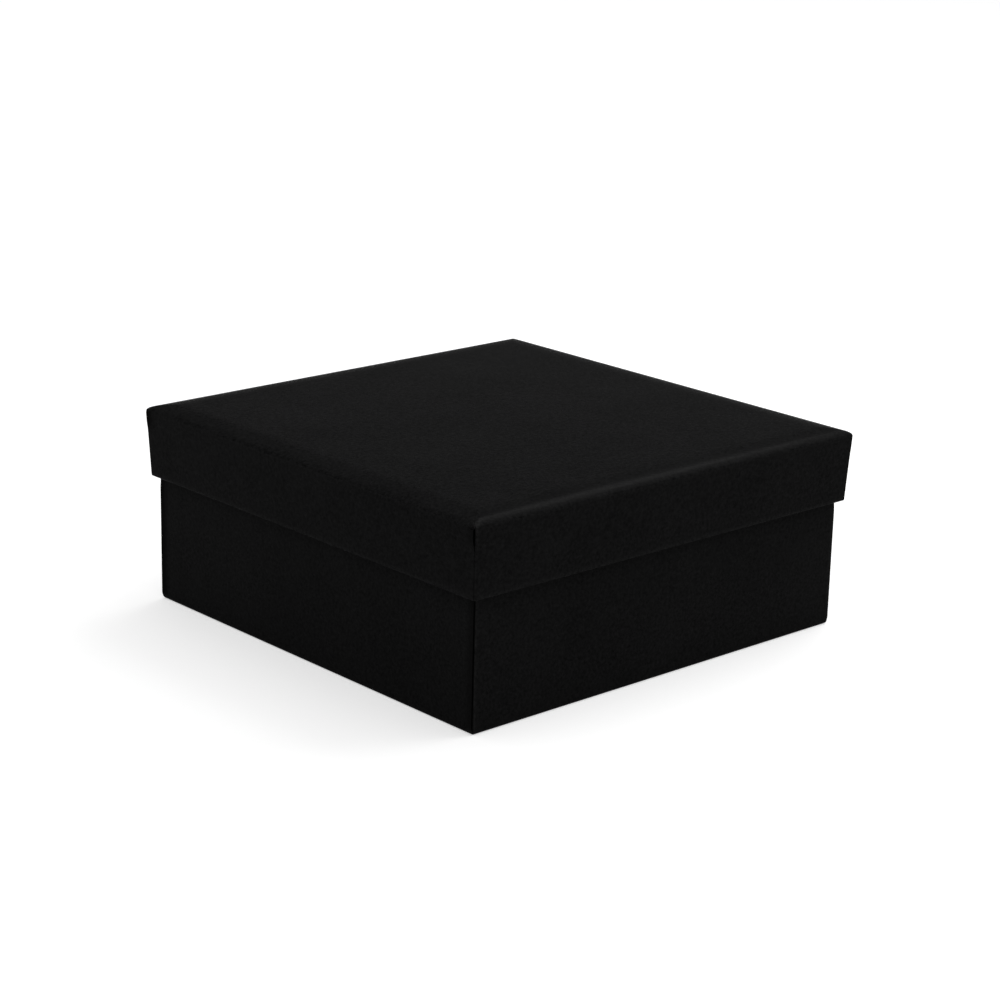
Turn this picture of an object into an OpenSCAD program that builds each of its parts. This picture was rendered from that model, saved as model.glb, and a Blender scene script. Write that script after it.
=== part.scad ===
// Square gift box of the set-up kind: a rigid base and a shallow lid that lifts off.
// Each half is a tray of scored greyboard with taped corners, wrapped in one sheet
// of black paper and lined with another.
// The origin is at the middle of the base's underside, +Z is up and the front is at -Y.

/* [Base] */
// Outside width of the base, from side to side
base_w = 192; // [120:1:300]
// Outside depth of the base, from front to back
base_d = 192; // [120:1:300]
// Height of the base, from the table to its rim
base_h = 80; // [65:1:160]
// Radius of the fold between the base's bottom and its walls
base_fold_r = 1.2; // [0.6:0.1:2]
// How far the base's wrap reaches down inside from the rim
base_turn_in = 18; // [10:1:30]

/* [Lid] */
// Height of the lid, from its top to its rim
lid_h = 30; // [24:1:60]
// How far each wall of the lid leans in, from the fold to the rim
lid_lean = 1.2; // [0:0.1:2]
// Reach of the lid's fold along its top
lid_fold_run = 6; // [1:0.1:8]
// Reach of the lid's fold down its walls
lid_fold_drop = 2.6; // [1:0.1:4]
// Width of the border that slopes down along the edges of the lid's top, beside the fold
shoulder_w = 7; // [4:1:14]
// How far that border slopes down
shoulder_drop = 0.35; // [0.1:0.05:0.6]
// How far the lid's wrap reaches up inside from the rim
lid_turn_in = 15; // [8:1:18]
// Clearance between the base and the lid's rim, on each side
lid_clearance = 0.4; // [0.3:0.1:2]

/* [Board] */
// Thickness of the greyboard
board_t = 2; // [1.5:0.1:3]
// Gap between two walls of a blank where they meet at a corner
corner_gap = 0.2; // [0.1:0.05:0.5]

/* [Corner tape] */
// Thickness of the tape, which is pressed into the board
stay_t = 0.15; // [0.05:0.05:0.3]
// Reach of the tape along each wall, from the corner
stay_w = 20; // [10:1:40]
// Distance from the tape's ends to the fold and to the rim
stay_margin = 3; // [1:1:6]

/* [Paper] */
// Thickness of the wrap
wrap_t = 0.2; // [0.1:0.05:0.4]
// Thickness of the lining
liner_t = 0.15; // [0.1:0.05:0.3]
// How far the lining runs on over the turned-in wrap
liner_overlap = 6; // [3:1:7]
// Distance from a corner to the seam beside it
seam_inset = 0.8; // [0.4:0.1:3]
// Width of the seam, where only the lower layer of the wrap shows
seam_w = 0.8; // [0.3:0.1:1.5]

/* [Hidden] */

// Distance from the outside to the board's inner face
board_in = wrap_t + board_t;
// Distance from the outside to the face of the turned-in wrap
turn_in_face = board_in + wrap_t;
// Depth of a seam: beside a corner the wrap is two layers, pressed to half their thickness
seam_depth = wrap_t / 2;
// Outside width and depth of the lid, across its folds
lid_w = base_w + 2 * (lid_clearance + turn_in_face + lid_lean);
lid_d = base_d + 2 * (lid_clearance + turn_in_face + lid_lean);
// Height of the lid's top when its lining rests on the base's rim
lid_top_z = base_h + liner_t + board_in;
// Straight steps in the arc of a fold
fold_steps = 8;
// Extra length of a cutting shape past what it cuts
cut = 1;

WRAP_COLOUR = "#19191a";
LINER_COLOUR = "#1f1f21";
BOARD_COLOUR = "#8d857a";
STAY_COLOUR = "#b99a6b";

// The places of the four corners, as signs of X and Y
FRONT_LEFT = [-1, -1];
FRONT_RIGHT = [1, -1];
BACK_LEFT = [-1, 1];
BACK_RIGHT = [1, 1];

// A tray lists its sizes in this order. It is drawn with its panel on top, the panel's
// outer face at z = 0 and its walls hanging down, and the base is turned over afterwards.
BASE = [base_w, base_d, base_h, 0, [base_fold_r, base_fold_r], [0, 0]];
LID = [lid_w, lid_d, lid_h, lid_lean, [lid_fold_run, lid_fold_drop], [shoulder_w, shoulder_drop]];

function width(tray) = tray[0];
function depth(tray) = tray[1];
function height(tray) = tray[2];
function lean(tray) = tray[3];
function fold(tray) = tray[4];
function shoulder(tray) = tray[5];

// Height at which a fold ends and the wall below it starts
function fold_z(tray) = -shoulder(tray)[1] - fold(tray)[1];

// Distance from the middle of the tray to a wall's face at height z, moved in by inset
function wall_x(tray, half, inset, z) =
    half - inset - lean(tray) * (fold_z(tray) - z) / (fold_z(tray) + height(tray));

// Right half of a tray's outer outline, moved in by inset, from height z up to the top
function outline(tray, half, inset, z) =
    let (
        centre = [half - fold(tray)[0], fold_z(tray)],
        reach = fold(tray) - [inset, inset],
        turns = [for (i = [0 : fold_steps]) 90 * i / fold_steps]
    )
    concat(
        [[wall_x(tray, half, inset, z), z]],
        [for (turn = turns) centre + [reach[0] * cos(turn), reach[1] * sin(turn)]],
        shoulder(tray)[1] > 0 ? [[centre[0] - shoulder(tray)[0], -inset]] : []
    );

function mirrored(points) =
    [for (i = [len(points) - 1 : -1 : 0]) [-points[i][0], points[i][1]]];

// Carries a profile in X and Z along Y, or one in Y and Z along X
module along_y(length)
    rotate([90, 0, 0]) linear_extrude(length, center = true) children();
module along_x(length)
    rotate([90, 0, 90]) linear_extrude(length, center = true) children();

// The tray's full outside, moved in by inset and cut off at height z, with its folds
module shell_block(tray, inset, z) {
    across = outline(tray, width(tray) / 2, inset, z);
    along = outline(tray, depth(tray) / 2, inset, z);
    intersection() {
        along_y(depth(tray)) polygon(concat(across, mirrored(across)));
        along_x(width(tray)) polygon(concat(along, mirrored(along)));
    }
}

// The space between the four walls, moved in by inset, from height z up to height top
module core(tray, inset, z, top) {
    intersection() {
        along_y(depth(tray) + 3 * cut) core_profile(tray, width(tray) / 2, inset, z, top);
        along_x(width(tray) + 3 * cut) core_profile(tray, depth(tray) / 2, inset, z, top);
    }
}

module core_profile(tray, half, inset, z, top) {
    right = [[wall_x(tray, half, inset, z), z], [wall_x(tray, half, inset, top), top]];
    polygon(concat(right, mirrored(right)));
}

// Two thin strips that follow the lean of a pair of walls, at inset from the outside
module strips(tray, half, inset, thickness, z, top) {
    for (side = [0, 1]) mirror([side, 0]) polygon([
        [wall_x(tray, half, inset, z), z],
        [wall_x(tray, half, inset, top), top],
        [wall_x(tray, half, inset + thickness, top), top],
        [wall_x(tray, half, inset + thickness, z), z],
    ]);
}

// One scored blank: the side walls run the full depth and the others fit between them
module board(tray) {
    difference() {
        shell_block(tray, wrap_t, wrap_t - height(tray));
        core(tray, board_in, -height(tray), -board_in);
        along_y(depth(tray))
            strips(tray, width(tray) / 2, board_in, corner_gap, -height(tray), -board_in);
        for (corner = [FRONT_LEFT, FRONT_RIGHT, BACK_LEFT, BACK_RIGHT])
            stay_band(tray, corner, -cut);
    }
}

// A strip of tape folded around one corner, over the joint between two walls
module corner_stay(tray, corner) stay_band(tray, corner, wrap_t);

// What lies outside the tape's inner face, around one corner, out to inset
module stay_band(tray, corner, inset) {
    low = stay_margin - height(tray);
    high = fold_z(tray) - stay_margin;
    reach = stay_w + cut;
    intersection() {
        difference() {
            core(tray, inset, low, high);
            core(tray, wrap_t + stay_t, low - cut, high + cut);
        }
        mirror([corner[0] < 0 ? 1 : 0, 0, 0])
            mirror([0, corner[1] < 0 ? 1 : 0, 0])
                translate([width(tray) / 2 - stay_w, depth(tray) / 2 - stay_w, -height(tray)])
                    cube([reach, reach, height(tray)]);
    }
}

// One sheet over the outside and the rim and a little way up the inside.
// Its seams lie on the two side walls, beside the corners.
module wrap(tray, turn_in) {
    rim = -height(tray);
    difference() {
        union() {
            difference() {
                shell_block(tray, 0, rim);
                shell_block(tray, wrap_t, rim + wrap_t);
            }
            core(tray, board_in, rim + seam_depth, rim + turn_in);
        }
        core(tray, turn_in_face, rim - cut, rim + turn_in + cut);
        difference() {
            along_x(width(tray) + cut)
                strips(tray, depth(tray) / 2, seam_inset, seam_w, rim - cut, fold_z(tray));
            core(tray, seam_depth, rim - 2 * cut, fold_z(tray) + cut);
        }
    }
}

// One sheet over the inside that steps onto the turned-in wrap and ends short of the rim
module liner(tray, turn_in) {
    difference() {
        lined_space(tray, turn_in, 0);
        lined_space(tray, turn_in, liner_t);
    }
}

// The space that a lining encloses, taken in by t
module lined_space(tray, turn_in, t) {
    edge = turn_in - height(tray);
    core(tray, board_in + t, edge + t, -board_in - t);
    core(tray, turn_in_face + t, edge - liner_overlap - t, -board_in - t);
}

// Turns a tray over onto its panel, or lifts it to its place on the base
module as_base() mirror([0, 0, 1]) children();
module as_lid() translate([0, 0, lid_top_z]) children();

module base_board() color(BOARD_COLOUR) as_base() board(BASE);
module base_corner_stay(corner) color(STAY_COLOUR) as_base() corner_stay(BASE, corner);
module base_wrap() color(WRAP_COLOUR) as_base() wrap(BASE, base_turn_in);
module base_liner() color(LINER_COLOUR) as_base() liner(BASE, base_turn_in);

module lid_board() color(BOARD_COLOUR) as_lid() board(LID);
module lid_corner_stay(corner) color(STAY_COLOUR) as_lid() corner_stay(LID, corner);
module lid_wrap() color(WRAP_COLOUR) as_lid() wrap(LID, lid_turn_in);
module lid_liner() color(LINER_COLOUR) as_lid() liner(LID, lid_turn_in);

base_board();
base_corner_stay(FRONT_LEFT);  // base_corner_stay_front_left
base_corner_stay(FRONT_RIGHT);  // base_corner_stay_front_right
base_corner_stay(BACK_LEFT);  // base_corner_stay_back_left
base_corner_stay(BACK_RIGHT);  // base_corner_stay_back_right
base_wrap();
base_liner();
lid_board();
lid_corner_stay(FRONT_LEFT);  // lid_corner_stay_front_left
lid_corner_stay(FRONT_RIGHT);  // lid_corner_stay_front_right
lid_corner_stay(BACK_LEFT);  // lid_corner_stay_back_left
lid_corner_stay(BACK_RIGHT);  // lid_corner_stay_back_right
lid_wrap();
lid_liner();
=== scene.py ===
"""A square gift box of the set-up kind: a rigid base and a shallow lid that lifts off.

Each half is a tray of scored greyboard with taped corners, wrapped in one sheet of
black paper and lined with another. Lengths are in metres.
"""

import math

import bpy
from mathutils import Matrix, Vector
from mathutils.geometry import interpolate_bezier


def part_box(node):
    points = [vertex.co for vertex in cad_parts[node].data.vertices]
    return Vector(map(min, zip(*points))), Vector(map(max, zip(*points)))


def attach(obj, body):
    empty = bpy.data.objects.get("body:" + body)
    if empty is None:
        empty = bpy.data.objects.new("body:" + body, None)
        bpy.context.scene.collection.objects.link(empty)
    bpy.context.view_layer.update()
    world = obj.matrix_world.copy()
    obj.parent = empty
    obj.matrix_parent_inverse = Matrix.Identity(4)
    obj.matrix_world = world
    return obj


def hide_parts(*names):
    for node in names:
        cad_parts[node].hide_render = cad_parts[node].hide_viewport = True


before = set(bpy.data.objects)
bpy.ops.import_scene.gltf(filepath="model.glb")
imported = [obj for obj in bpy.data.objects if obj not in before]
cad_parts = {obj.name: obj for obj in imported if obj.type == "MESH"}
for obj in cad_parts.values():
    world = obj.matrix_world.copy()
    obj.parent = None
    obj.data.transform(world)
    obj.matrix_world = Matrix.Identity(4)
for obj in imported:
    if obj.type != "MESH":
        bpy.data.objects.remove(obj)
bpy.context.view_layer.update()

mm = 0.001

# ---------------------------------------------------------------- Viewpoint
# The box is seen a little from above with a front corner turned to the viewer,
# through a short telephoto lens held about a degree off level.

view_azimuth = math.radians(-42.45)
view_elevation = math.radians(16.98)
view_roll = math.radians(1.365)
view_distance = 1.0529
view_target = Vector((10.2, 8.5, 43.2)) * mm

toward_viewer = Vector((
    math.sin(view_azimuth) * math.cos(view_elevation),
    -math.cos(view_azimuth) * math.cos(view_elevation),
    math.sin(view_elevation),
))
level_right = Vector((0, 0, 1)).cross(toward_viewer).normalized()
view_right = Matrix.Rotation(view_roll, 3, toward_viewer) @ level_right
view_up = toward_viewer.cross(view_right)

camera = bpy.data.objects.new("camera", bpy.data.cameras.new("camera"))
camera.data.lens = 92.8
camera.data.sensor_width = 36
camera.matrix_world = Matrix.Translation(view_target + view_distance * toward_viewer) @ Matrix(
    (view_right, view_up, toward_viewer)).transposed().to_4x4()
bpy.context.scene.collection.objects.link(camera)
bpy.context.scene.camera = camera

# ---------------------------------------------------------------- Greyboard trays
# Each tray is one blank of 2 mm greyboard, pressed from waste paper, scored and
# folded up. The board is grey-brown, with darker and paler specks of fibre in it.


def new_material(name):
    """A bare material, with its nodes, links and shader"""
    material = bpy.data.materials.new(name)
    material.use_nodes = True
    tree = material.node_tree
    return material, tree.nodes, tree.links, tree.nodes["Principled BSDF"]


def noise_from(nodes, links, source, size, detail, roughness=0.5):
    """Noise with features of one size, on any vector"""
    noise = nodes.new("ShaderNodeTexNoise")
    noise.inputs["Scale"].default_value = 1 / size
    noise.inputs["Detail"].default_value = detail
    noise.inputs["Roughness"].default_value = roughness
    links.new(source, noise.inputs["Vector"])
    return noise.outputs["Fac"]


def ramp_from(nodes, links, factor, stops):
    """Colours spread over a factor, as a list of place and colour"""
    ramp = nodes.new("ShaderNodeValToRGB")
    elements = ramp.color_ramp.elements
    while len(elements) < len(stops):
        elements.new(1)
    for element, (place, colour) in zip(elements, stops):
        element.position = place
        element.color = (*colour, 1)
    links.new(factor, ramp.inputs["Fac"])
    return ramp.outputs["Color"]


def bump_from(nodes, links, height, depth, under=None):
    """Bump of a given depth, on top of another where one is given"""
    bump = nodes.new("ShaderNodeBump")
    bump.inputs["Distance"].default_value = depth
    bump.inputs["Strength"].default_value = 1
    links.new(height, bump.inputs["Height"])
    if under:
        links.new(under, bump.inputs["Normal"])
    return bump.outputs["Normal"]


def greyboard():
    material, nodes, links, shader = new_material("greyboard")
    place = nodes.new("ShaderNodeTexCoord").outputs["Object"]
    pulp = noise_from(nodes, links, place, 0.9 * mm, 4, 0.7)
    specks = noise_from(nodes, links, place, 0.35 * mm, 2)
    colour = ramp_from(nodes, links, pulp, [
        (0.30, (0.175, 0.155, 0.130)),
        (0.52, (0.265, 0.238, 0.200)),
        (0.72, (0.330, 0.300, 0.258)),
    ])
    links.new(colour, shader.inputs["Base Color"])
    links.new(bump_from(nodes, links, specks, 0.05 * mm), shader.inputs["Normal"])
    shader.inputs["Roughness"].default_value = 0.9
    shader.inputs["Specular IOR Level"].default_value = 0.2
    return material


def cover(node, material):
    """Gives a node of the frame its finish"""
    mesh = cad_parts[node].data
    mesh.materials.clear()
    mesh.materials.append(material)


board_material = greyboard()
for board in ("base_board", "lid_board"):
    cover(board, board_material)

# ---------------------------------------------------------------- Corner tapes
# Gummed kraft paper holds the walls of a tray together: a strip is folded round
# each of its four corners and pressed into the board.


def kraft_tape():
    material, nodes, links, shader = new_material("kraft tape")
    place = nodes.new("ShaderNodeTexCoord").outputs["Object"]
    lengthwise = nodes.new("ShaderNodeMapping")
    lengthwise.inputs["Scale"].default_value = (1, 1, 0.15)
    links.new(place, lengthwise.inputs["Vector"])
    fibres = noise_from(nodes, links, lengthwise.outputs["Vector"], 0.4 * mm, 4, 0.65)
    colour = ramp_from(nodes, links, fibres, [
        (0.32, (0.300, 0.190, 0.095)),
        (0.60, (0.455, 0.310, 0.165)),
    ])
    links.new(colour, shader.inputs["Base Color"])
    links.new(bump_from(nodes, links, fibres, 0.02 * mm), shader.inputs["Normal"])
    shader.inputs["Roughness"].default_value = 0.6
    shader.inputs["Specular IOR Level"].default_value = 0.3
    return material


tape_material = kraft_tape()
for tray in ("base", "lid"):
    for end in ("front", "back"):
        for side in ("left", "right"):
            cover(f"{tray}_corner_stay_{end}_{side}", tape_material)

# ---------------------------------------------------------------- Wraps
# Each tray is wrapped in one cross-shaped sheet of matt black paper. The front and back
# flaps have wings that turn round the corners, and the side flaps are glued over the
# wings, so each side wall has a seam beside its corners. All four turn in over the rim.

# The paper's thickness, how closely it turns over the rim and round the corners, and how
# wide the rim is
paper_t = 0.15 * mm
paper_fold_r = 0.40 * mm
paper_corner_r = 0.36 * mm
rim_w = 2.4 * mm

# A wing's width, its slant and the strip that it ends in, and how it sinks under a side
# flap, which rides over it with hardly a gap
wing_w = 14 * mm
wing_slant = 1.2
wing_end_w = 1.2 * mm
wing_fall = 0.8 * mm
wing_ride = 0.11 * mm
wing_gap = 0.01 * mm

# A seam starts just past the place where the fold is this steep, and flares from its tip
seam_steepness = 0.8
seam_start = 0.4 * mm
seam_tip_w = 0.05 * mm
seam_flare = 0.8

# How much lighter the paper is painted at the tips of a lid's corners, along a rim, where a fold
# turns into the wall and beside the seams, and how far that reaches from the lightened edge:
# partly wear, partly painted highlight
tip_wear_and_highlight = 1.5
rim_wear_and_highlight = 0.5
eave_wear_and_highlight = 0.45
corner_wear_and_highlight = 0.6
wear_and_highlight_reach = 1.5 * mm

# Painted shade in the seams: how much a side flap is darkened near its cut edge where the seam
# gapes, where that starts to fade, and how far in it reaches
seam_shade_strength = 0.75
seam_shade_start = 0.4 * mm
seam_shade_reach = 5 * mm

# Pulls that turn a bend into a quarter circle, as a share of its radius
quarter_curl = 0.5523


def bend(start, start_pull, end_pull, end, steps):
    """A smooth bend from start to end, leaving and arriving along the two pulls"""
    points = interpolate_bezier(start, start + start_pull, end + end_pull, end, steps + 1)
    return [Vector(point[:2]) for point in points[1:]]


def straight(start, end, steps):
    """A straight run from start to end, with its points closer together near both"""
    return [start.lerp(end, 0.5 - 0.5 * math.cos(math.pi * k / steps)) for k in range(1, steps + 1)]


def wrap_section(half, height, lean, run, drop, shoulder_w, shoulder_drop, turn_in):
    """What one flap follows, from the edge of the flat panel to its own cut edge inside:
    stretches of points (distance from the middle, height), with the panel at height 0"""
    r = paper_fold_r
    curl = quarter_curl * paper_fold_r
    crest_pull, eave_pull = 0.40, 0.70  # as shares of the fold's run and drop
    panel = Vector((half - run - shoulder_w, 0))
    crest = Vector((half - run, -shoulder_drop))
    eave = Vector((half, -shoulder_drop - drop))
    foot = Vector((half - lean, -height))
    down = (foot - eave).normalized()
    out = Vector((1, 0))
    slope = Vector((shoulder_w, -2 * shoulder_drop)).normalized() if shoulder_w else out
    inside = foot - rim_w * out
    stretches = [("panel", [panel])]
    if shoulder_w:
        stretches.append(("shoulder", bend(
            panel, out * shoulder_w / 2, -slope * shoulder_w / 3, crest, 8)))
    stretches += [
        ("fold", bend(crest, slope * run * crest_pull, -down * drop * eave_pull, eave, 14)),
        ("wall", straight(eave, foot - r * down, 34)),
        ("rim", bend(foot - r * down, curl * down, curl * out, foot - r * out, 5)),
        ("rim", straight(foot - r * out, inside + r * out, 2)),
        ("rim", bend(inside + r * out, -curl * out, curl * down, inside - r * down, 5)),
        ("turn_in", straight(inside - r * down, inside - turn_in * down, 6)),
    ]
    return stretches


def ease(x, low, high):
    """0 below low, 1 above high and smooth between"""
    k = min(max((x - low) / (high - low), 0), 1)
    return k * k * (3 - 2 * k)


class Row:
    """One line across a flap: where it lies on the section and how it meets the corners"""

    def __init__(self, place, length, stretch, steepness, corner_r, depth, wear_and_highlight):
        self.place, self.length, self.stretch = place, length, stretch
        self.steepness, self.corner_r = steepness, corner_r
        self.depth, self.wear_and_highlight = depth, wear_and_highlight


def rows_of(stretches, corner_r, soft_run, worn_and_highlit_folds):
    """The rows of a flap. Its corners are sharp at the panel, and open out to corner_r.
    A row's depth is counted down from where a seam could start, and is 0 above there.
    The paper is painted lighter, as wear and painted highlight, halfway round each fold that is
    named, along a named rim, and where the fold turns into the wall if the eave is named."""
    least_steepness = 0.35
    rows = []
    start = stretches[0][1][0]
    last, length, depth = start, start.x, 0
    for stretch, points in stretches:
        for k, point in enumerate(points):
            step = (point - last).length
            length += step
            steepness = abs(point.y - last.y) / step if step else 0
            radius = corner_r
            on_top = stretch in ("panel", "shoulder", "fold")
            if on_top:
                radius *= min(1, (length - start.x) / soft_run) / max(steepness, least_steepness)
            if not on_top or steepness > seam_steepness:
                depth += step
            wear_and_highlight = math.sin(math.pi * (k + 1) / len(points)) if stretch in worn_and_highlit_folds else 0
            rows.append(Row(point, length, stretch, steepness, radius, depth, wear_and_highlight))
            last = point
    rim = max(row.depth for row in rows if row.stretch == "wall")
    for row in rows:
        if "rim" in worn_and_highlit_folds and row.stretch == "wall":
            row.wear_and_highlight = rim_wear_and_highlight * ease(row.depth, rim - 1.8 * mm, rim - 0.3 * mm)
        if "eave" in worn_and_highlit_folds:
            row.wear_and_highlight = max(row.wear_and_highlight, eave_wear_and_highlight * ease(row.steepness, 0.45, 0.75) * (
                1 - ease(row.depth, 0.3 * mm, wear_and_highlight_reach)))
    return rows


# Across a flap its columns crowd towards the corners
half_columns = 26
crowding = 1.8
across = [1 - (1 - k / half_columns) ** crowding for k in range(half_columns + 1)]
across = [-x for x in reversed(across[1:])] + across
arc_columns = 6
wing_columns = (0.03, 0.07, 0.14, 0.3, 0.55, 0.8, 0.93, 1.0)


def tip_wear_and_highlight_at(row):
    """How much lighter a fold is painted at its corners, where it slopes down: wear, and a painted
    highlight at the lid's corner tips
    """
    return tip_wear_and_highlight * ease(row.steepness, 0.1, 0.4) * (row.depth <= 0)


def front_flap(row, wall_length, ridge, gape, seam_shade_from):
    """One row across a front or back flap, from one wing's cut edge to the other's:
    points (distance along the row, stand-off, how much lighter for wear and painted highlight,
    how much darker for painted shade)"""
    walled = row.depth > 0
    edge = row.place.x - row.corner_r
    crest = ridge(row) if walled else 0
    middle = []
    # Near the corners the flap is painted lighter: wear, and painted highlight at the tips and
    # beside a gaping seam
    for x in across:
        near = 1 - ease((1 - abs(x)) * edge, 0, wear_and_highlight_reach)
        point_wear_and_highlight = max(row.wear_and_highlight, tip_wear_and_highlight_at(row) * near, corner_wear_and_highlight * gape(row) * near * walled)
        middle.append((x * edge, crest * near, point_wear_and_highlight, 0))

    tail = []
    arc = row.corner_r * math.pi / 2
    # Round the corner the paper is painted lighter on its front part, as wear and painted
    # highlight, and darker on its far part where a seam gapes, as painted shade inside the seam
    for k in range(1, arc_columns + 1):
        round_it = k / arc_columns
        point_wear_and_highlight = max(row.wear_and_highlight, tip_wear_and_highlight_at(row), corner_wear_and_highlight * walled * (1 - round_it))
        tail.append((edge + arc * round_it, crest, point_wear_and_highlight,
                     gape(row) * ease(round_it, seam_shade_from, 1)))

    # The wing starts where the seam does, is cut slantwise and ends as a narrow strip
    room = wing_slant * min(row.depth, wall_length - row.depth)
    wing = max(min(wing_w, room), min(row.depth, wing_end_w))
    if row.depth < seam_start:
        wing = 0
    settle = (paper_t - wing_ride + wing_gap) if walled else 0
    # A wing is painted dark, half where its seam is closed and fully where it gapes: painted shade
    # in the seam over it
    for k in wing_columns:
        fall = ease(wing * k, 0, wing_fall)
        tail.append((edge + arc + wing * k, crest * (1 - fall) - settle * fall, 0,
                     0.5 + 0.5 * gape(row)))
    return [(-u, *rest) for u, *rest in reversed(tail)] + middle + tail


def side_flap(row, seam, lift, gape):
    """One row across a side flap, from seam to seam: points of the same kind"""
    walled = row.depth > 0
    edge = row.place.x - row.corner_r
    if row.depth >= seam_start:
        opened = seam_flare * (row.depth - seam_start) + seam_tip_w
        edge -= max(-opened, min(seam(row) - row.corner_r, opened))
    line = []
    for x in across:
        from_edge = (1 - abs(x)) * edge
        near = 1 - ease(from_edge, 0, wear_and_highlight_reach)
        # Painted shade: the flap is darkened towards its cut edge where the seam gapes
        seam_shading = seam_shade_strength * gape(row) * (1 - ease(from_edge, seam_shade_start, seam_shade_reach))
        line.append((x * edge, lift(row, from_edge) if walled else 0,
                     max(row.wear_and_highlight, tip_wear_and_highlight_at(row) * near), seam_shading * walled))
    return line


def cut_blank(name, rows, seam, lift, ridge, gape, seam_shade_from=0):
    """The flat cross-shaped blank. Its x and y are the sheet's, and its z is how far the
    sheet will stand off once folded. Its attributes say which flap a point is on, the
    radius of the corners beside it, how much lighter the paper is painted there for wear and
    highlight, and how much darker for shade in the seams. The last argument says how far round
    a corner that painted shade starts."""
    wall_length = sum(b.length - a.length for a, b in zip(rows, rows[1:]) if b.stretch == "wall")
    points, flap_of, radius_of, wear_and_highlight_of, painted_seam_shade_of, faces = [], [], [], [], [], []

    def add_grid(lines, flap, radii):
        first = len(points)
        for line, radius in zip(lines, radii):
            points.extend(point[:3] for point in line)
            wear_and_highlight_of.extend(point[3] for point in line)
            painted_seam_shade_of.extend(point[4] for point in line)
            flap_of.extend([flap] * len(line))
            radius_of.extend([radius] * len(line))
        wide = len(lines[0])
        for j in range(len(lines) - 1):
            for i in range(wide - 1):
                corner = first + j * wide + i
                faces.append((corner, corner + wide, corner + wide + 1, corner + 1))

    panel, level = rows[0].place
    add_grid([[(x * panel, y * panel, level, 0, 0) for x in across] for y in reversed(across)],
             -1, [0] * len(across))

    for flap in range(4):
        turn = Matrix.Rotation(flap * math.pi / 2, 3, "Z")
        on_side = flap % 2
        lines, radii = [], []
        for row in rows:
            if on_side:
                line = side_flap(row, seam, lift, gape)
            else:
                line = front_flap(row, wall_length, ridge, gape, seam_shade_from)
            lines.append([(*(turn @ Vector((u, -row.length, n))), *rest) for u, n, *rest in line])
            # A side flap runs straight on past the corners, free of the arcs under it
            radii.append(0 if on_side and row.depth >= seam_start else row.corner_r)
        add_grid(lines, flap, radii)

    mesh = bpy.data.meshes.new(name)
    mesh.from_pydata(points, [], faces)
    for attribute, values in (("flap", flap_of), ("corner_radius", radius_of),
                              ("wear_and_highlight", wear_and_highlight_of), ("painted_seam_shade", painted_seam_shade_of)):
        mesh.attributes.new(attribute, "FLOAT", "POINT").data.foreach_set("value", values)
    blank = bpy.data.objects.new(name, mesh)
    bpy.context.scene.collection.objects.link(blank)
    return blank


def section_curve(name, rows):
    """The section as a curve from the middle of the panel, for the flaps to follow"""
    curve = bpy.data.curves.new(name, "CURVE")
    curve.dimensions = "3D"
    line = curve.splines.new("POLY")
    line.points.add(len(rows))
    for point, place in zip(line.points, [Vector((0, rows[0].place.y))] + [r.place for r in rows]):
        point.co = (place.x, 0, place.y, 1)
    guide = bpy.data.objects.new(name, curve)
    bpy.context.scene.collection.objects.link(guide)
    return guide


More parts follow.
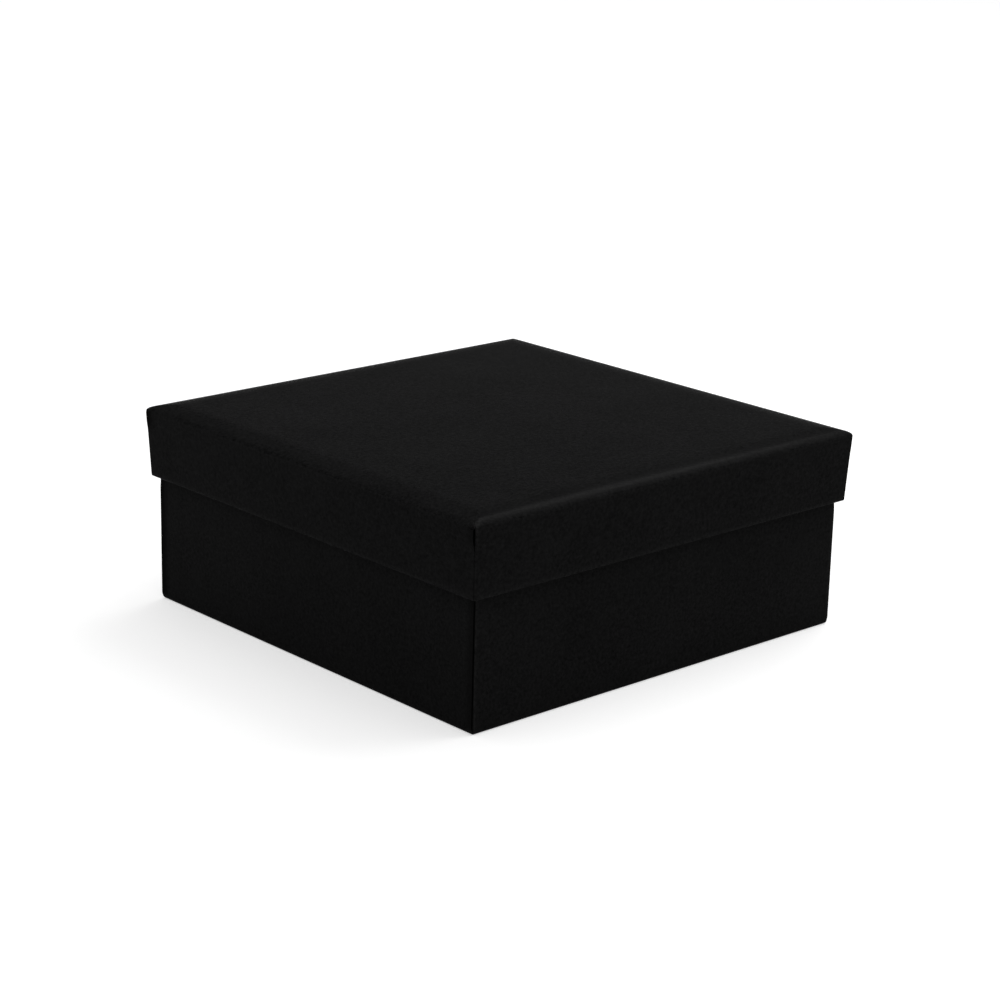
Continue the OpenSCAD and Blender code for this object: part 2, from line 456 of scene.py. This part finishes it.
def folding_tree():
    """Folds a flat blank round a tray. Each flap is turned to the front, carried along the
    section, bent round the two corners beside it, and turned back to its own side."""
    tree = bpy.data.node_groups.new("fold a sheet round a tray", "GeometryNodeTree")
    tree.is_modifier = True
    interface = tree.interface
    interface.new_socket("Blank", in_out="INPUT", socket_type="NodeSocketGeometry")
    for name, kind in (("Section", "Object"), ("Weld Distance", "Float"), ("Unevenness", "Float"),
                       ("Unevenness Size", "Float"), ("Seed", "Float"), ("Paper", "Material")):
        interface.new_socket(name, in_out="INPUT", socket_type="NodeSocket" + kind)
    interface.new_socket("Folded", in_out="OUTPUT", socket_type="NodeSocketGeometry")
    given = tree.nodes.new("NodeGroupInput").outputs
    result = tree.nodes.new("NodeGroupOutput").inputs

    def node(kind, settings=None, **sockets):
        made = tree.nodes.new(kind)
        for setting, value in (settings or {}).items():
            setattr(made, setting, value)
        for socket, value in sockets.items():
            target = made.inputs[int(socket[1:])] if socket[1:].isdigit() else made.inputs[
                socket.replace("_", " ")]
            if isinstance(value, bpy.types.NodeSocket):
                tree.links.new(value, target)
            else:
                target.default_value = value
        return made

    def maths(operation, *values):
        sockets = {f"i{k}": value for k, value in enumerate(values)}
        return node("ShaderNodeMath", {"operation": operation}, **sockets).outputs[0]

    def attribute(name):
        return node("GeometryNodeInputNamedAttribute", {"data_type": "FLOAT"},
                    Name=name).outputs["Attribute"]

    flap = attribute("flap")
    radius = attribute("corner_radius")
    turn = maths("MULTIPLY", flap, math.pi / 2)
    position = node("GeometryNodeInputPosition").outputs["Position"]
    fronted = node("ShaderNodeVectorRotate", {"rotation_type": "Z_AXIS", "invert": True},
                   Vector=position, Angle=turn).outputs["Vector"]
    flat = node("ShaderNodeSeparateXYZ", Vector=fronted).outputs
    along_edge, stand_off = flat["X"], flat["Z"]

    # Where the section is at this distance from the middle, and which way the sheet faces
    guide = node("GeometryNodeObjectInfo", Object=given["Section"]).outputs["Geometry"]
    sample = node("GeometryNodeSampleCurve", {"mode": "LENGTH", "use_all_curves": True},
                  Curves=guide, Length=maths("MULTIPLY", flat["Y"], -1)).outputs
    place = node("ShaderNodeSeparateXYZ", Vector=sample["Position"]).outputs
    heading = node("ShaderNodeSeparateXYZ", Vector=sample["Tangent"]).outputs
    facing_out = maths("MULTIPLY", heading["Z"], -1)
    lifted = maths("MULTIPLY", stand_off, facing_out)

    # Past the start of a corner the sheet follows its arc, and then the next wall
    arc_start = maths("SUBTRACT", place["X"], radius)
    across_edge = maths("ABSOLUTE", along_edge)
    past = maths("MAXIMUM", maths("SUBTRACT", across_edge, arc_start), 0)
    angle = maths("MINIMUM", maths("DIVIDE", past, maths("MAXIMUM", radius, 1e-7)), math.pi / 2)
    beyond = maths("SUBTRACT", past, maths("MULTIPLY", radius, angle))
    arm = maths("ADD", radius, lifted)
    x = maths("SUBTRACT", across_edge, past)
    x = maths("ADD", x, maths("MULTIPLY", arm, maths("SINE", angle)))
    x = maths("MULTIPLY", x, maths("SIGN", along_edge))
    y = maths("ADD", arc_start, maths("MULTIPLY", arm, maths("COSINE", angle)))
    y = maths("SUBTRACT", beyond, y)
    z = maths("ADD", place["Z"], maths("MULTIPLY", stand_off, heading["X"]))
    folded = node("ShaderNodeCombineXYZ", X=x, Y=y, Z=z).outputs["Vector"]
    folded = node("ShaderNodeVectorRotate", {"rotation_type": "Z_AXIS"},
                  Vector=folded, Angle=turn).outputs["Vector"]
    on_a_flap = node("FunctionNodeCompare", {"data_type": "FLOAT", "operation": "GREATER_THAN"},
                     i0=flap, i1=-0.5).outputs["Result"]
    sheet = node("GeometryNodeSetPosition", Geometry=given["Blank"], Selection=on_a_flap,
                 Position=folded).outputs["Geometry"]
    sheet = node("GeometryNodeMergeByDistance", Geometry=sheet,
                 Distance=given["Weld Distance"]).outputs["Geometry"]

    # Glued paper is never quite flat
    swell = node("ShaderNodeTexNoise", {"noise_dimensions": "4D"}, W=given["Seed"],
                 Scale=maths("DIVIDE", 1, given["Unevenness Size"]), Detail=2.0).outputs["Fac"]
    swell = maths("MULTIPLY", maths("SUBTRACT", swell, 0.5), given["Unevenness"])
    normal = node("GeometryNodeInputNormal").outputs["Normal"]
    offset = node("ShaderNodeVectorMath", {"operation": "SCALE"}, i0=normal, Scale=swell).outputs[0]
    sheet = node("GeometryNodeSetPosition", Geometry=sheet, Offset=offset).outputs["Geometry"]

    sheet = node("GeometryNodeRealizeInstances", Geometry=sheet).outputs["Geometry"]
    sheet = node("GeometryNodeSetMaterial", Geometry=sheet, Material=given["Paper"])
    tree.links.new(sheet.outputs["Geometry"], result["Folded"])
    return tree


folding = folding_tree()


def fold_sheet(name, blank, guide, thickness, side, seed, paper, place):
    """Folds the blank round its tray, gives it its thickness and sets it in its place.
    The thickness goes inwards from the section for side -1, and outwards for side 1."""
    fold = blank.modifiers.new("fold", "NODES")
    fold.node_group = folding
    values = {"Section": guide, "Weld Distance": 0.02 * mm, "Unevenness": 0.07 * mm,
              "Unevenness Size": 35 * mm, "Seed": float(seed), "Paper": paper}
    for socket in folding.interface.items_tree:
        if socket.in_out == "INPUT" and socket.name in values:
            fold[socket.identifier] = values[socket.name]
    thicken = blank.modifiers.new("thickness", "SOLIDIFY")
    thicken.thickness = thickness
    thicken.offset = side
    thicken.use_even_offset = False
    thicken.use_rim = True
    bpy.context.view_layer.update()
    evaluated = blank.evaluated_get(bpy.context.evaluated_depsgraph_get())
    mesh = bpy.data.meshes.new_from_object(evaluated)
    mesh.name = name
    for helper in (blank, guide):
        bpy.data.objects.remove(helper)
    mesh.transform(place)
    mesh.shade_smooth()
    mesh.set_sharp_from_angle(angle=math.radians(50))
    sheet = bpy.data.objects.new(name, mesh)
    bpy.context.scene.collection.objects.link(sheet)
    return sheet


def black_paper(name, shade, roughness, gloss):
    """Uncoated black paper: a felt of fibres, uneven in colour. Where it is worn it is painted
    lighter, which also stands in for highlights, and it is painted darker as shade in the seams"""
    material, nodes, links, shader = new_material(name)
    place = nodes.new("ShaderNodeTexCoord").outputs["Object"]
    grain = noise_from(nodes, links, place, 0.45 * mm, 3, 0.6)
    felt = noise_from(nodes, links, place, 1.3 * mm, 3, 0.75)
    cloud = noise_from(nodes, links, place, 30 * mm, 3, 0.6)

    def maths(operation, *values):
        made = nodes.new("ShaderNodeMath")
        made.operation = operation
        for k, value in enumerate(values):
            if isinstance(value, bpy.types.NodeSocket):
                links.new(value, made.inputs[k])
            else:
                made.inputs[k].default_value = value
        return made.outputs[0]

    cloud_share = 0.16
    mottle = maths("ADD", maths("MULTIPLY", felt, 1 - cloud_share),
                   maths("MULTIPLY", cloud, cloud_share))
    darkest, lightest = 0.4, 1.6
    tint = (1, 0.995, 1.01)
    dark, light = (tuple(shade * k * part for part in tint) for k in (darkest, lightest))
    # Lighter where worn, patchy across the felt; the same lightening also stands in for highlights
    wear_and_highlight = nodes.new("ShaderNodeAttribute")
    wear_and_highlight.attribute_name = "wear_and_highlight"
    patchy_wear_and_highlight = maths("MULTIPLY_ADD", felt, 3.0, -0.9)
    wear_and_highlight_mix = maths("MULTIPLY", wear_and_highlight.outputs["Fac"], patchy_wear_and_highlight)
    colour = nodes.new("ShaderNodeMixRGB")
    links.new(wear_and_highlight_mix, colour.inputs["Fac"])
    links.new(ramp_from(nodes, links, mottle, [(0.3, dark), (0.7, light)]),
              colour.inputs["Color1"])
    # The colour of wear and painted highlight
    colour.inputs["Color2"].default_value = (2.2 * shade, 2.19 * shade, 2.22 * shade, 1)
    # Painted shade in the seams darkens the paper to this colour
    painted_seam_shade = nodes.new("ShaderNodeAttribute")
    painted_seam_shade.attribute_name = "painted_seam_shade"
    seam_shading = nodes.new("ShaderNodeMixRGB")
    links.new(painted_seam_shade.outputs["Fac"], seam_shading.inputs["Fac"])
    links.new(colour.outputs["Color"], seam_shading.inputs["Color1"])
    seam_shading.inputs["Color2"].default_value = (0.1 * shade, 0.1 * shade, 0.1 * shade, 1)
    links.new(seam_shading.outputs["Color"], shader.inputs["Base Color"])
    fine = bump_from(nodes, links, grain, 0.015 * mm)
    links.new(bump_from(nodes, links, felt, 0.015 * mm, fine), shader.inputs["Normal"])
    shader.inputs["Roughness"].default_value = roughness
    shader.inputs["Specular IOR Level"].default_value = gloss
    return material


wrap_paper = black_paper("black wrapping paper", shade=0.0085, roughness=0.22, gloss=0.0048)

# The lid's fold is soft: the board was only scored half through. The sizes are the tray's own.
lid_turn_in = 15 * mm
lid_low, lid_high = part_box("lid_wrap")
lid_half = lid_high.x
lid_height = lid_high.z - lid_low.z
lid_lean = 1.2 * mm
lid_section = wrap_section(lid_half, lid_height, lid_lean, run=6 * mm, drop=2.6 * mm,
                           shoulder_w=7 * mm, shoulder_drop=0.35 * mm, turn_in=lid_turn_in)
# The lid's rim and the turn of its fold into the wall are painted lighter: wear, and painted
# highlight
lid_rows = rows_of(lid_section, paper_corner_r, soft_run=6 * mm, worn_and_highlit_folds=("rim", "eave"))


def curling(from_edge, reach):
    """The curl of a loose flap: 1 at its cut edge, dying away over its reach"""
    return max(0, 1 - from_edge / reach) ** 2


def over_wing(row, from_edge):
    """How far a side flap stands off where it lies over a wing"""
    return wing_ride * ease(row.depth, 0, 1.5 * mm) * (
        1 - ease(from_edge, wing_w - 4 * mm, wing_w + 1 * mm))


def lid_slit(row):
    """How open the lid's seams are: they gape most just below the fold"""
    return ease(row.depth, 0, 1.2 * mm) * (1 - ease(row.depth, 4.5 * mm, 10 * mm))


def lid_seam(row):
    """How far from the corner the side flaps end"""
    return 0.62 * mm + 0.20 * mm * lid_slit(row)


def lid_lift(row, from_edge):
    """How far the lid's side flaps stand off, over the wings and where they curl"""
    return over_wing(row, from_edge) + 0.50 * mm * lid_slit(row) * curling(from_edge, 7 * mm)


def lid_ridge(row):
    """How far the corners of the front and back flaps bulge beside a gaping seam"""
    return 0.12 * mm * lid_slit(row)


lid_blank = cut_blank("lid blank", lid_rows, lid_seam, lid_lift, lid_ridge, lid_slit,
                      seam_shade_from=0.6)
lid_wrap = fold_sheet("lid_wrap_sheet", lid_blank, section_curve("lid section", lid_rows),
                      thickness=paper_t, side=-1, seed=3, paper=wrap_paper,
                      place=Matrix.Translation((0, 0, lid_high.z)))
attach(lid_wrap, "lid")
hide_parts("lid_wrap")

# The base's bottom has a close fold, and its seams stand open down to a small tuck at the foot.
base_turn_in = 18 * mm
base_low, base_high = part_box("base_wrap")
base_half = base_high.x
base_height = base_high.z - base_low.z
base_section = wrap_section(base_half, base_height, 0, run=1.2 * mm, drop=1.2 * mm,
                            shoulder_w=0, shoulder_drop=0, turn_in=base_turn_in)
# The base's foot fold and rim are painted lighter: wear, and painted highlight where the fold faces
# the bright table
base_rows = rows_of(base_section, paper_corner_r, soft_run=1.2 * mm,
                    worn_and_highlit_folds=("fold", "rim"))

# Where the lid's rim crosses the base's walls, counted from the foot
lid_rim_depth = lid_low.z


def base_slit(row):
    """How open the base's seams are: all the way from the foot to the lid's rim"""
    return ease(row.depth, 0.3 * mm, 2.5 * mm) * (
        1 - 0.7 * ease(row.depth, lid_rim_depth - 2 * mm, lid_rim_depth + 6 * mm)) * (
        1 - ease(row.depth, base_height - 8 * mm, base_height - 2 * mm))


def base_seam(row):
    """The base's side flaps end closer to the corner than the lid's"""
    return 0.26 * mm


def base_lift(row, from_edge):
    """How far the base's side flaps stand off: the lid's rim holds them down"""
    held = 0.6 * ease(row.depth, lid_rim_depth - 6 * mm, lid_rim_depth)
    return over_wing(row, from_edge) + 0.45 * mm * base_slit(row) * (1 - held) * curling(
        from_edge, 6 * mm)


def base_ridge(row):
    """The base's corners bulge most at the foot"""
    return (0.05 * mm + 0.12 * mm * (1 - ease(row.depth, 8 * mm, 14 * mm))) * base_slit(row)


base_blank = cut_blank("base blank", base_rows, base_seam, base_lift, base_ridge, base_slit)
base_wrap = fold_sheet("base_wrap_sheet", base_blank, section_curve("base section", base_rows),
                       thickness=paper_t, side=-1, seed=8, paper=wrap_paper,
                       place=Matrix.Rotation(math.pi, 4, "X"))
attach(base_wrap, "base")
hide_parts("base_wrap")

# ---------------------------------------------------------------- Linings
# A lighter black paper lines each tray: one sheet over the floor and up the walls, glued
# down over the cut edge of the turned-in wrap, with its corners lapped like the wrap's.

lining_t = 0.15 * mm
lining_corner_r = 1.5 * mm
lining_overlap = 6 * mm

# What lies under it: the wall with its wrap, and the wrap that is turned in
wall_t = 2.2 * mm
turned_in_t = 0.2 * mm


def lining_section(half, height, lean, turn_in):
    """What one flap of a lining follows, from the edge of its flat panel to its cut edge"""
    r = lining_corner_r
    curl = quarter_curl * lining_corner_r
    step_run = 1.2 * mm
    step_pull = 0.5 * mm
    ceiling = -wall_t - lining_t

    def wall_at(z, inset):
        return Vector((half - inset - lean * -z / height, z))

    edge = turn_in - height
    start = wall_at(ceiling - r, wall_t + lining_t)
    before_step = wall_at(edge + step_run, wall_t + lining_t)
    after_step = wall_at(edge, wall_t + turned_in_t + lining_t)
    end = wall_at(edge - lining_overlap, wall_t + turned_in_t + lining_t)
    out, down = Vector((1, 0)), (before_step - start).normalized()
    panel = Vector((start.x - r, ceiling))
    return [
        ("panel", [panel]),
        ("fold", bend(panel, out * curl, -down * curl, start, 6)),
        ("wall", straight(start, before_step, 14)),
        ("wall", bend(before_step, down * step_pull, -down * step_pull, after_step, 4)),
        ("wall", straight(after_step, end, 3)),
    ]


def lining_seam(row):
    """The side flaps of a lining end just past the round of the corner"""
    return lining_corner_r + 0.1 * mm


def lining_lift(row, from_edge):
    """The side flaps of a lining lie over the wings, towards the inside"""
    return -over_wing(row, from_edge)


def laid_flat(row):
    """A lining neither bulges nor gapes"""
    return 0


def line_tray(name, seed, half, height, lean, turn_in, place):
    """Lines one tray, from its half width, height, lean and turn-in"""
    rows = rows_of(lining_section(half, height, lean, turn_in),
                   lining_corner_r, soft_run=lining_corner_r, worn_and_highlit_folds=())
    blank = cut_blank(name + " blank", rows, lining_seam, lining_lift, laid_flat, laid_flat)
    return fold_sheet(name, blank, section_curve(name + " section", rows), thickness=lining_t,
                      side=1, seed=seed, paper=lining_paper, place=place)


lining_paper = black_paper("black lining paper", shade=0.0085, roughness=0.75, gloss=0.08)

base_lining = line_tray("base_lining_sheet", 21, base_half, base_height, 0, base_turn_in,
                        Matrix.Rotation(math.pi, 4, "X"))
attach(base_lining, "base")
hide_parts("base_liner")

lid_lining = line_tray("lid_lining_sheet", 34, lid_half, lid_height, lid_lean, lid_turn_in,
                       Matrix.Translation((0, 0, lid_high.z)))
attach(lid_lining, "lid")
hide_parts("lid_liner")

# ---------------------------------------------------------------- Table and light
# The box stands on a wide white table in a grey room with a pale ceiling. A large soft
# lamp on the right and above lights the top, a small one beside it makes the light that
# runs along the lid's right-hand fold, and a weak one on the left fills the left wall.


def white_to_the_eye(nodes, links, lit, seen):
    """Mixes how a surface is lit with how the camera and mirrors see it"""
    path = nodes.new("ShaderNodeLightPath")
    eye = nodes.new("ShaderNodeMath")
    eye.operation = "MAXIMUM"
    links.new(path.outputs["Is Camera Ray"], eye.inputs[0])
    glass = nodes.new("ShaderNodeMath")
    glass.operation = "MAXIMUM"
    links.new(path.outputs["Is Glossy Ray"], glass.inputs[0])
    links.new(path.outputs["Is Transmission Ray"], glass.inputs[1])
    links.new(glass.outputs[0], eye.inputs[1])
    mix = nodes.new("ShaderNodeMixShader")
    links.new(eye.outputs[0], mix.inputs["Fac"])
    links.new(lit, mix.inputs[1])
    links.new(seen, mix.inputs[2])
    return mix.outputs[0]


table_half = 6.0
table_mesh = bpy.data.meshes.new("table")
table_mesh.from_pydata(
    [(-table_half, -table_half, 0), (table_half, -table_half, 0),
     (table_half, table_half, 0), (-table_half, table_half, 0)], [], [(0, 1, 2, 3)])
table = bpy.data.objects.new("table", table_mesh)
bpy.context.scene.collection.objects.link(table)

table_material, nodes, links, shader = new_material("white table")
shader.inputs["Base Color"].default_value = (0.82, 0.82, 0.82, 1)
shader.inputs["Roughness"].default_value = 1
shader.inputs["Specular IOR Level"].default_value = 0
glow = nodes.new("ShaderNodeEmission")
glow.inputs["Strength"].default_value = 0.5
both = nodes.new("ShaderNodeAddShader")
links.new(shader.outputs[0], both.inputs[0])
links.new(glow.outputs[0], both.inputs[1])
links.new(white_to_the_eye(nodes, links, shader.outputs[0], both.outputs[0]),
          nodes["Material Output"].inputs["Surface"])
table_mesh.materials.append(table_material)

world = bpy.data.worlds.new("grey room")
bpy.context.scene.world = world
world.use_nodes = True
nodes, links = world.node_tree.nodes, world.node_tree.links
# The room's greys, from the level of the table up to the ceiling
upwards = nodes.new("ShaderNodeSeparateXYZ")
links.new(nodes.new("ShaderNodeTexCoord").outputs["Generated"], upwards.inputs[0])
room = ramp_from(nodes, links, upwards.outputs["Z"], [
    (0.06, (0.06, 0.06, 0.06)),
    (0.18, (0.28, 0.28, 0.28)),
    (0.22, (0.15, 0.15, 0.15)),
    (0.32, (0.14, 0.14, 0.14)),
    (0.35, (0.02, 0.02, 0.02)),
    (0.44, (0.02, 0.02, 0.02)),
    (0.48, (0.20, 0.20, 0.20)),
    (0.64, (0.20, 0.20, 0.20)),
    (0.68, (0.94, 0.94, 0.94)),
])
links.new(room, nodes["Background"].inputs["Color"])


def soft_lamp(name, direction, distance, size, power):
    """A square lamp with a soft light, turned towards the foot of the box"""
    data = bpy.data.lights.new(name, "AREA")
    data.shape = "SQUARE"
    data.size = size
    data.energy = power
    lamp = bpy.data.objects.new(name, data)
    lamp.location = Vector(direction).normalized() * distance
    lamp.rotation_euler = lamp.location.to_track_quat("Z", "Y").to_euler()
    bpy.context.scene.collection.objects.link(lamp)
    return lamp


soft_lamp("right lamp", (0.70, -0.10, 0.68), distance=1.60, size=1.40, power=10.2)
soft_lamp("back lamp", (0.655, 0.40, 0.64), distance=1.60, size=0.40, power=1.15)
soft_lamp("left lamp", (-0.80, -0.25, 0.55), distance=1.60, size=1.00, power=0.5)

bpy.context.scene.view_settings.view_transform = "Standard"
